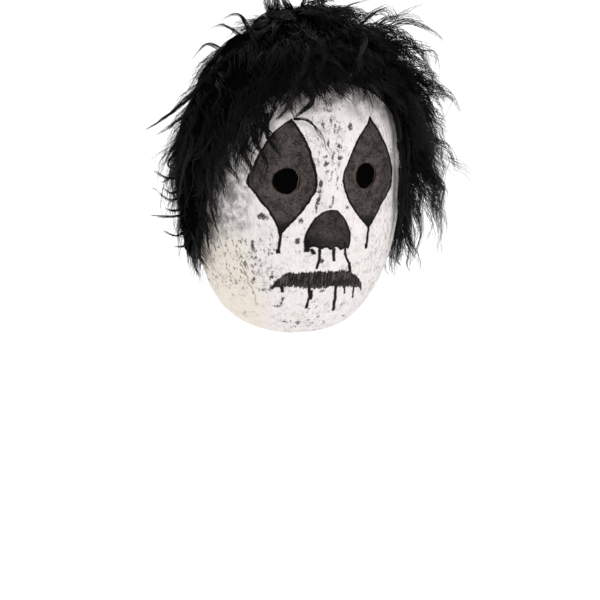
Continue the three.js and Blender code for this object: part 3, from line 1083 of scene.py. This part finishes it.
def split_locks(form, sizes, names, share, seed):
    """Each solid lock of those rows as share thinner ones, scattered about it in place, length,
    lift and swing."""
    rng = np.random.default_rng(seed)
    number, around, tilt, long, stand = (np.repeat(a, share) for a in cad_locks(names))
    count = len(number)
    fuller = 1 + sizes.lopsided * np.sin(around)
    length_of = sizes.lock_length * long * (0.8 + 0.4 * scatter(number, 1))
    lift = length_of * stand * fuller * (0.75 + 0.5 * scatter(number, 2))
    swing = 0.6 * (scatter(number, 3) - 0.5)
    sway = 0.16 * (scatter(number, 4) - 0.5)
    around = around + np.radians(rng.uniform(-11, 11, count))
    tilt = tilt + np.radians(rng.uniform(-10, 9, count))
    length_of = length_of * rng.uniform(0.55, 1.15, count)
    lift = lift * (0.25 + 1.05 * rng.uniform(0, 1, count) ** 1.6)
    swing = swing + rng.uniform(-0.5, 0.5, count)
    fall = rng.uniform(0.15, 0.4, count)
    lines = lock_lines(form, sizes, around, tilt, length_of, lift, swing, sway, fall, LOCK_STEPS)
    return lines + np.array([sizes.shift, 0, sizes.shift / 2])


def along_path(path, at):
    """Points at places along paths of equal steps, each place a number of steps from the root."""
    first = np.minimum(at.astype(int), path.shape[1] - 2)
    part = (at - first)[..., None]
    pick = np.arange(len(path))[:, None]
    return path[pick, first] * (1 - part) + path[pick, first + 1] * part


def strands_of(form, sizes, lines, each, spread, tip_spread, seed, wave):
    """Strands that follow locks: each starts at its own place on a disc across the lock's root
    and draws in towards the tip, over waves shared by the lock and a finer frizz of its own.
    Offsets off the head are as full as the fur is there.
    Offset: spread * (1-s)^1.1 + tip_spread; wave: a helix of amplitude * s^0.6."""
    rng = np.random.default_rng(seed)
    locks, steps = lines.shape[:2]
    full = fullness(form, lines[:, 0])
    owner = np.repeat(np.arange(locks), each)
    count = len(owner)
    s = np.linspace(0, 1, steps)
    reach = rng.uniform(0.6, 1.04, count) ** 0.8
    path = lines[owner]
    points = along_path(path, reach[:, None] * s * (steps - 1))
    along = unit(np.gradient(path, axis=1))
    outward = unit(path)
    aside = unit(np.cross(outward, along))
    outward = np.cross(along, aside)
    radius = np.sqrt(rng.uniform(0, 1, count))
    angle = rng.uniform(0, TURN, count)
    width = spread * (1 - s) ** 1.1 + tip_spread
    off_a = (radius * np.cos(angle))[:, None] * width
    off_o = (radius * np.sin(angle) * full[owner])[:, None] * width * 0.6
    span = np.linalg.norm(np.diff(lines, axis=1), axis=2).sum(1)
    turns = TURN * span / rng.uniform(0.024, 0.045, locks)
    phase = rng.uniform(0, TURN, locks)
    size = wave * rng.uniform(0.2, 1.4, locks)
    grow = s**0.6
    curl = turns[:, None] * s + phase[:, None]
    off_a = off_a + (size[:, None] * grow * np.sin(curl))[owner]
    off_o = off_o + (0.8 * (size * full)[:, None] * grow * np.cos(curl))[owner]
    frizz = rng.uniform(0, 0.0011, count)[:, None] * grow
    off_a = off_a + frizz * np.sin(rng.uniform(8, 22, count)[:, None] * s + angle[:, None] * 3)
    off_o = off_o + frizz * np.sin(rng.uniform(8, 22, count)[:, None] * s + angle[:, None] * 5)
    stray = (rng.uniform(0, 1, count) > 0.93) * rng.uniform(-0.010, 0.010, count)
    off_a = off_a + stray[:, None] * s**2
    points = points + aside * off_a[..., None] + outward * off_o[..., None]
    points = clear_of_head(form, points, sizes.underside + STRAND_CLEARANCE)
    half = sizes.strand_width * 0.5 * rng.uniform(0.55, 1.15, count)[:, None]
    half = half * (1 - 0.82 * s**1.6)
    tone = np.repeat(np.clip(0.42 + 0.3 * rng.normal(size=locks), 0, 1), each)
    tone = np.clip(tone + rng.uniform(-0.2, 0.2, count), 0, 1)
    return points, half, tone


def cut_short(bundle, seed):
    """Strands cut, by a ragged few millimetres, where they would hang over the forehead or below
    the hem, and drawn again with as many points. Each strand ends at its first point below the
    limit's height there."""
    points, half, tone = bundle
    rng = np.random.default_rng(seed)
    steps = points.shape[1]
    x, y, z = points[..., 0], points[..., 1], points[..., 2]
    line = np.array(HAIRLINE, float) * MM
    ahead = (y < -FACE_AHEAD) & (np.abs(x) < line[-1, 0])
    over_face = np.where(ahead, np.interp(x, line[:, 0], line[:, 1]), -1)
    hem = np.array(HEM, float)
    angle = np.degrees(np.arctan2(x, -y))
    lowest = np.interp(angle, hem[:, 0], hem[:, 1]) * MM
    ragged = rng.exponential(CUT_RAGGEDNESS, len(points))[:, None]
    below = (z < np.maximum(over_face, lowest) - ragged) | (x > WIDEST * MM - ragged)
    share = np.where(below.any(1), below.argmax(1), steps - 1) / (steps - 1)
    at = (np.maximum(share, 0.15)[:, None] * np.linspace(0, 1, steps)) * (steps - 1)
    return along_path(points, at), half, tone


def clear_of_head(form, points, growth):
    """Points inside the grown head form, moved straight out from its middle to its surface."""
    share = form_share(form, points, growth)[..., None]
    return np.where(share < 1, points / np.maximum(share, 0.05), points)


def strand_mesh(form, points, half, tone):
    """Closed three-sided tubes along the strands: corner j is the point
    + half (cos j N + flatness sin j B), with N and B square to the strand."""
    count, steps = points.shape[:2]
    along = unit(np.gradient(points, axis=1))
    across = unit(np.cross(points, along))
    outward = np.cross(along, across)
    angle = np.array([0.5, 0.5 + 2 / 3, 0.5 + 4 / 3]) * math.pi
    ring = across[:, :, None] * np.cos(angle)[:, None]
    ring = ring + outward[:, :, None] * STRAND_FLATNESS * np.sin(angle)[:, None]
    corners = points[:, :, None] + ring * half[:, :, None, None]
    start = (np.arange(count) * steps * 3)[:, None, None]
    ring_at = (np.arange(steps - 1) * 3)[None, :, None]
    j, k = np.arange(3), (np.arange(3) + 1) % 3
    base = start + ring_at
    quads = np.stack([base + j, base + k, base + 3 + k, base + 3 + j], -1).reshape(-1, 4)
    roots = start[:, :, 0] + np.array([[2, 1, 0]])
    tips = start[:, :, 0] + (steps - 1) * 3 + np.array([[0, 1, 2]])
    caps = np.concatenate([roots, tips])
    flat = lean(form, corners.reshape(-1, 3))
    if signed_volume(flat, caps, quads) < 0:
        caps, quads = caps[:, ::-1], quads[:, ::-1]
    values = {
        "tone": np.repeat(tone, steps * 3),
        "along": np.tile(np.repeat(np.linspace(0, 1, steps), 3), count),
    }
    return flat, [caps, quads], values


def fur_piece(name, form, sizes, bundles):
    """One mesh of all the strands of several bundles with equal steps."""
    points, half, tone = (np.concatenate(parts) for parts in zip(*bundles))
    flat, faces, values = strand_mesh(form, points, half, tone)
    material = bpy.data.materials.get("black_strands") or black_strands(sizes)
    return piece(name, flat, faces, material, ["fur"], values)


def single_locks(form, sizes, names, seed):
    """Strands of the single locks of those groups."""
    bundles = []
    for name in names:
        for strands, spread, rows in SINGLE_LOCKS[name]:
            seed += 1
            line = smooth_edge(rows, LOCK_STEPS)[None] * MM
            wave = 0.0 if strands < 8 else 0.0012
            tip = 0.0025 if strands > 80 else 0.0005
            bundle = strands_of(form, sizes, line, strands, spread * MM, tip, seed, wave)
            bundles.append(bundle)
    return bundles


def row_locks(form, sizes, names, share, seed, spread, wave=3.4):
    """Strands of the rows of locks, each solid lock as share thinner ones, cut short at the face
    and the hem. spread and wave are in millimetres."""
    lines = split_locks(form, sizes, names, share, seed)
    strands = strands_of(
        form, sizes, lines, LOCK_STRANDS, spread * MM, 0.0006, seed + 1, wave * MM
    )
    return cut_short(strands, seed + 2)


def coat_lines(form, sizes, count, seed):
    """Middle lines of short locks all over the hood, combed down and swung at random."""
    rng = np.random.default_rng(seed)
    around = rng.uniform(-math.pi, math.pi, count * 3)
    tilt = np.arcsin(rng.uniform(-0.6, 1.0, count * 3))
    _, y, z = form_place(form, around, tilt, 0.0).T
    edge = smooth_edge(HOOD_EDGE)
    up = z / np.where(z > 0, form.crown_height, form.chin_drop)
    kept = np.nonzero(up > np.interp(y / form.depth + 0.06, edge[:, 0], edge[:, 1]))[0][:count]
    around, tilt = around[kept], tilt[kept]
    size = len(kept)
    reach = rng.uniform(0.026, 0.044, size)
    lift = rng.uniform(0.006, 0.015, size) * (1 + sizes.lopsided * np.sin(around))
    swing, sway = rng.uniform(-0.9, 0.9, size), rng.uniform(-0.1, 0.1, size)
    fall = np.full(size, 0.2)
    lines = lock_lines(form, sizes, around, tilt, reach, lift, swing, sway, fall, COAT_STEPS)
    return lines + np.array([sizes.shift, 0, sizes.shift / 2]) * 0.5


# Lamps: where each shines from, its spread in degrees and its power.
LIGHTS = (
    ("key", (0.7, -1.6, 1.1), 22, 1.0),
    ("fill", (-1.6, -1.2, 0.5), 40, 0.25),
    ("top", (0.1, 0.6, 1.6), 14, 0.85),
)


# ---- operators


class MASK_OT_stage(bpy.types.Operator):
    """Make the floor, the lights and the camera"""

    bl_idname = "clown_mask.stage"
    bl_label = "Stage"

    def execute(self, context):
        sizes = context.scene.mask_stage
        paint = Paint("floor")
        place, _ = paint.place()
        cloudy = paint.noise(place, 0.6, 2.0)
        floor_material = paint.finish(
            Base_Color=paint.mix(cloudy, (0.88, 0.88, 0.88), (0.91, 0.91, 0.91)),
            Roughness=0.9,
            Emission_Color=(1.0, 1.0, 1.0),
            Emission_Strength=sizes.floor_glow,
            Specular_IOR_Level=0.0,
        )
        # The floor turns round the Z axis: flat out to its radius, then an arc that rises.
        columns, flat, arc = 96, 12, 16
        rise = np.linspace(0, math.radians(60), arc + 1)[1:]
        radius = np.concatenate([
            sizes.floor_radius * np.linspace(0, 1, flat + 1)[1:],
            sizes.floor_radius + sizes.backdrop_bend * np.sin(rise),
        ])[:, None]
        height = np.concatenate([np.zeros(flat), sizes.backdrop_bend * (1 - np.cos(rise))])[:, None]
        turn = np.linspace(0, TURN, columns, endpoint=False)
        ground = np.stack(
            [radius * np.cos(turn), radius * np.sin(turn), height - sizes.floor_drop + 0 * turn], -1
        ).reshape(-1, 3)
        cap, quads = grid_faces(flat + arc, columns)
        ground = np.concatenate([[[0, 0, -sizes.floor_drop]], ground])
        mesh = bpy.data.meshes.new("floor")
        mesh.from_pydata(ground.tolist(), [], [*cap.tolist(), *quads.tolist()])
        mesh.shade_smooth()
        mesh.materials.append(floor_material)
        floor = bpy.data.objects.new("floor", mesh)
        context.scene.collection.objects.link(floor)
        world = context.scene.world or bpy.data.worlds.new("studio")
        context.scene.world = world
        world.use_nodes = True
        background = world.node_tree.nodes["Background"]
        background.inputs["Color"].default_value = (0.97, 0.98, 1.0, 1)
        background.inputs["Strength"].default_value = sizes.sky
        for name, spot, spread, power in LIGHTS:
            self.light(name, spot, math.radians(spread), power)
        context.scene.view_settings.view_transform = "Standard"
        camera = bpy.data.cameras.new("camera")
        camera.lens = sizes.lens
        camera.sensor_width = 36
        camera.clip_end = 200
        a, e, r = sizes.azimuth, sizes.elevation, sizes.roll
        right = Vector((math.cos(a), math.sin(a), 0))
        up = Vector((-math.sin(a) * math.sin(e), math.cos(a) * math.sin(e), math.cos(e)))
        back = Vector((math.sin(a) * math.cos(e), -math.cos(a) * math.cos(e), math.sin(e)))
        rolled_right = right * math.cos(r) + up * math.sin(r)
        rolled_up = up * math.cos(r) - right * math.sin(r)
        spot = back * sizes.distance
        aim = rolled_right * sizes.aim_across + rolled_up * sizes.aim_up
        away = (spot - aim).normalized()
        side = (rolled_right - away * rolled_right.dot(away)).normalized()
        frame_axes = Matrix((side, away.cross(side), away)).transposed().to_4x4()
        eye = bpy.data.objects.new("camera", camera)
        eye.matrix_world = Matrix.Translation(spot) @ frame_axes
        context.scene.collection.objects.link(eye)
        context.scene.camera = eye
        return {"FINISHED"}

    def light(self, name, spot, spread, power):
        """A soft distant lamp that shines from a spot towards the mask."""
        data = bpy.data.lights.new(name, "SUN")
        data.angle, data.energy = spread, power
        made = bpy.data.objects.new(name, data)
        made.location = spot
        made.rotation_euler = Vector(spot).to_track_quat("Z", "Y").to_euler()
        bpy.context.scene.collection.objects.link(made)


class MASK_OT_face(bpy.types.Operator):
    """Make the painted face shell"""

    bl_idname = "clown_mask.face"
    bl_label = "Face"

    def execute(self, context):
        form, sizes = context.scene.mask_form, context.scene.mask_face
        turns = np.linspace(0, TURN, sizes.turns, endpoint=False)
        rim = face_rim(form, turns)
        share = np.linspace(0, 1, sizes.rings + 1)[1:, None]
        cap, quads = grid_faces(sizes.rings, sizes.turns)
        outer, inner = (
            np.concatenate([
                form_point(form, np.array([math.pi / 2]), np.array([0.0]), growth, sizes.relief),
                form_point(form, turns, rim * share, growth, sizes.relief).reshape(-1, 3),
            ])
            for growth in (0.0, -sizes.wall)
        )
        # Cells whose middle lies in an eye hole are left out, and the points round it move to
        # its ragged circle.
        kept = np.ones(len(quads), bool)
        for side in (-1, 1):
            x0, z0 = side * sizes.eye_spacing / 2, -sizes.eye_drop
            middle = outer[quads].mean(1)
            hole = np.hypot(middle[:, 0] - x0, middle[:, 2] - z0) < sizes.eye_radius
            kept &= ~hole
            edge = np.intersect1d(quads[hole], quads[~hole])
            angle = np.arctan2(outer[edge, 2] - z0, outer[edge, 0] - x0)
            ragged = 0.04 * np.sin(3 * angle + side) + 0.022 * np.sin(8 * angle)
            radius = sizes.eye_radius * (1 + ragged + 0.012 * np.sin(19 * angle))
            for points, growth in ((outer, 0.0), (inner, -sizes.wall)):
                x = x0 + radius * np.cos(angle) * 0.94
                z = z0 + radius * np.sin(angle) * 1.02
                points[edge] = np.stack([x, front_depth(form, sizes, x, z, growth), z], -1)
        points, cap, quads, inside = shell(outer, inner, cap, quads[kept])
        piece(
            "face", lean(form, points), [cap, quads], face_paint(context.scene.mask_paint),
            ["face_shell"], {"inner": inside, "speck": speck_strength(points)},
            sharp=SHARP,
        )
        return {"FINISHED"}


class MASK_OT_hood(bpy.types.Operator):
    """Make the knitted hood under the fur"""

    bl_idname = "clown_mask.hood"
    bl_label = "Hood"

    def execute(self, context):
        form, sizes = context.scene.mask_form, context.scene.mask_hood

        def cloth(share, at):
            """The wall's outside, which stands up along the middle seam."""
            middle = 1.0 if at is None else np.exp(-((at[..., 0] / 0.0014) ** 2))
            return sizes.gap + sizes.wall + sizes.seam * 0.3 * middle

        points, cap, quads, _ = hood_shell(
            form, 70, 144, cloth, lambda share, at: sizes.gap + 0 * share
        )
        piece(
            "hood", lean(form, points), [cap, quads], hood_cloth(sizes),
            ["hood_left", "hood_right"], sharp=SHARP,
        )
        return {"FINISHED"}


class MASK_OT_fur_backing(bpy.types.Operator):
    """Make the fur's dense pile on the hood"""

    bl_idname = "clown_mask.fur_backing"
    bl_label = "Fur backing"

    def execute(self, context):
        form, sizes = context.scene.mask_form, context.scene.mask_fur

        def pile(share, at):
            """Thick over the head's fuller side and thin at its edge, ruffled by waves."""
            if at is None:
                return np.full(1, sizes.underside + sizes.pile * 0.6)
            ruffle = 0.22 * waves(at, 3, 190) + 0.12 * waves(at, 4, 520)
            thick = sizes.pile * (0.62 + ruffle) * (1 + 0.5 * at[..., 0] / form.half_width)
            return sizes.underside + 0.0008 + thick * smoothstep(1.0, 0.86, share)

        points, cap, quads, _ = hood_shell(
            form, 90, 200, pile, lambda share, at: sizes.underside + 0 * share
        )
        piece(
            "fur_backing", lean(form, points), [cap, quads], fur_backing(sizes),
            ["fur"],
        )
        return {"FINISHED"}


class MASK_OT_fur_coat(bpy.types.Operator):
    """Make the short coat that covers the pile between the locks"""

    bl_idname = "clown_mask.fur_coat"
    bl_label = "Short coat"

    def execute(self, context):
        form, sizes = context.scene.mask_form, context.scene.mask_fur
        lines = coat_lines(form, sizes, 430, 61)
        strands = strands_of(form, sizes, lines, COAT_STRANDS, 9 * MM, MM, 62, 2.5 * MM)
        fur_piece("fur_coat", form, sizes, [cut_short(strands, 63)])
        return {"FINISHED"}


class MASK_OT_fur_fringe(bpy.types.Operator):
    """Make the locks over the forehead and the temples"""

    bl_idname = "clown_mask.fur_fringe"
    bl_label = "Fringe"

    def execute(self, context):
        form, sizes = context.scene.mask_form, context.scene.mask_fur
        bundles = [
            row_locks(form, sizes, ("fringe",), 12, 11, 6),
            row_locks(form, sizes, ("front",), 13, 13, 6, wave=4.5),
            row_locks(form, sizes, ("left temple", "right temple"), 12, 15, 6.5),
            *single_locks(form, sizes, ("forehead", "right edge"), 70),
        ]
        fur_piece("fur_fringe", form, sizes, bundles)
        return {"FINISHED"}


class MASK_OT_fur_crown(bpy.types.Operator):
    """Make the locks on top of the head"""

    bl_idname = "clown_mask.fur_crown"
    bl_label = "Crown"

    def execute(self, context):
        form, sizes = context.scene.mask_form, context.scene.mask_fur
        bundles = [
            row_locks(form, sizes, ("crown",), 16, 21, 6, wave=5),
            row_locks(form, sizes, ("upper",), 13, 23, 6, wave=5),
            *single_locks(form, sizes, ("top",), 80),
        ]
        fur_piece("fur_crown", form, sizes, bundles)
        return {"FINISHED"}


class MASK_OT_fur_sides(bpy.types.Operator):
    """Make the long locks round the sides and the back"""

    bl_idname = "clown_mask.fur_sides"
    bl_label = "Sides"

    def execute(self, context):
        form, sizes = context.scene.mask_form, context.scene.mask_fur
        upper = [row_locks(form, sizes, ("side",), 19, 31, 6.5, wave=4.5)]
        fur_piece("fur_side", form, sizes, upper + single_locks(form, sizes, ("left",), 90))
        lower = [row_locks(form, sizes, ("ear",), 18, 41, 6.5, wave=4.5)]
        fur_piece("fur_ear", form, sizes, lower + single_locks(form, sizes, ("right",), 110))
        return {"FINISHED"}


class MASK_OT_fur_nape(bpy.types.Operator):
    """Make the short locks along the hem"""

    bl_idname = "clown_mask.fur_nape"
    bl_label = "Nape"

    def execute(self, context):
        form, sizes = context.scene.mask_form, context.scene.mask_fur
        lower = row_locks(form, sizes, ("lower", "nape"), 12, 51, 8)
        fur_piece("fur_nape", form, sizes, [lower])
        return {"FINISHED"}


class MASK_PT_panel(bpy.types.Panel):
    """Makes the mask's pieces one by one"""

    bl_idname = "MASK_PT_panel"
    bl_label = "Clown mask"
    bl_space_type = "VIEW_3D"
    bl_region_type = "UI"
    bl_category = "Clown mask"

    def draw(self, context):
        for step in STEPS:
            self.layout.operator(step.bl_idname)


GROUPS = {
    "mask_form": MaskForm,
    "mask_face": FaceSizes,
    "mask_paint": PaintColours,
    "mask_hood": HoodSizes,
    "mask_fur": FurSizes,
    "mask_stage": StageSizes,
}
STEPS = (
    MASK_OT_stage,
    MASK_OT_face,
    MASK_OT_hood,
    MASK_OT_fur_backing,
    MASK_OT_fur_coat,
    MASK_OT_fur_fringe,
    MASK_OT_fur_crown,
    MASK_OT_fur_sides,
    MASK_OT_fur_nape,
)


def register():
    for kind in (*GROUPS.values(), *STEPS, MASK_PT_panel):
        bpy.utils.register_class(kind)
    for name, kind in GROUPS.items():
        setattr(bpy.types.Scene, name, PointerProperty(type=kind))


def unregister():
    for name in GROUPS:
        delattr(bpy.types.Scene, name)
    for kind in reversed((*GROUPS.values(), *STEPS, MASK_PT_panel)):
        bpy.utils.unregister_class(kind)


def corners(box):
    """A box's two corners as plain lists."""
    return [[float(number) for number in corner] for corner in box]


def main():
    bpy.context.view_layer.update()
    register()
    for step in STEPS:
        group, name = step.bl_idname.split(".")
        getattr(getattr(bpy.ops, group), name)()


if __name__ == "__main__":
    main()
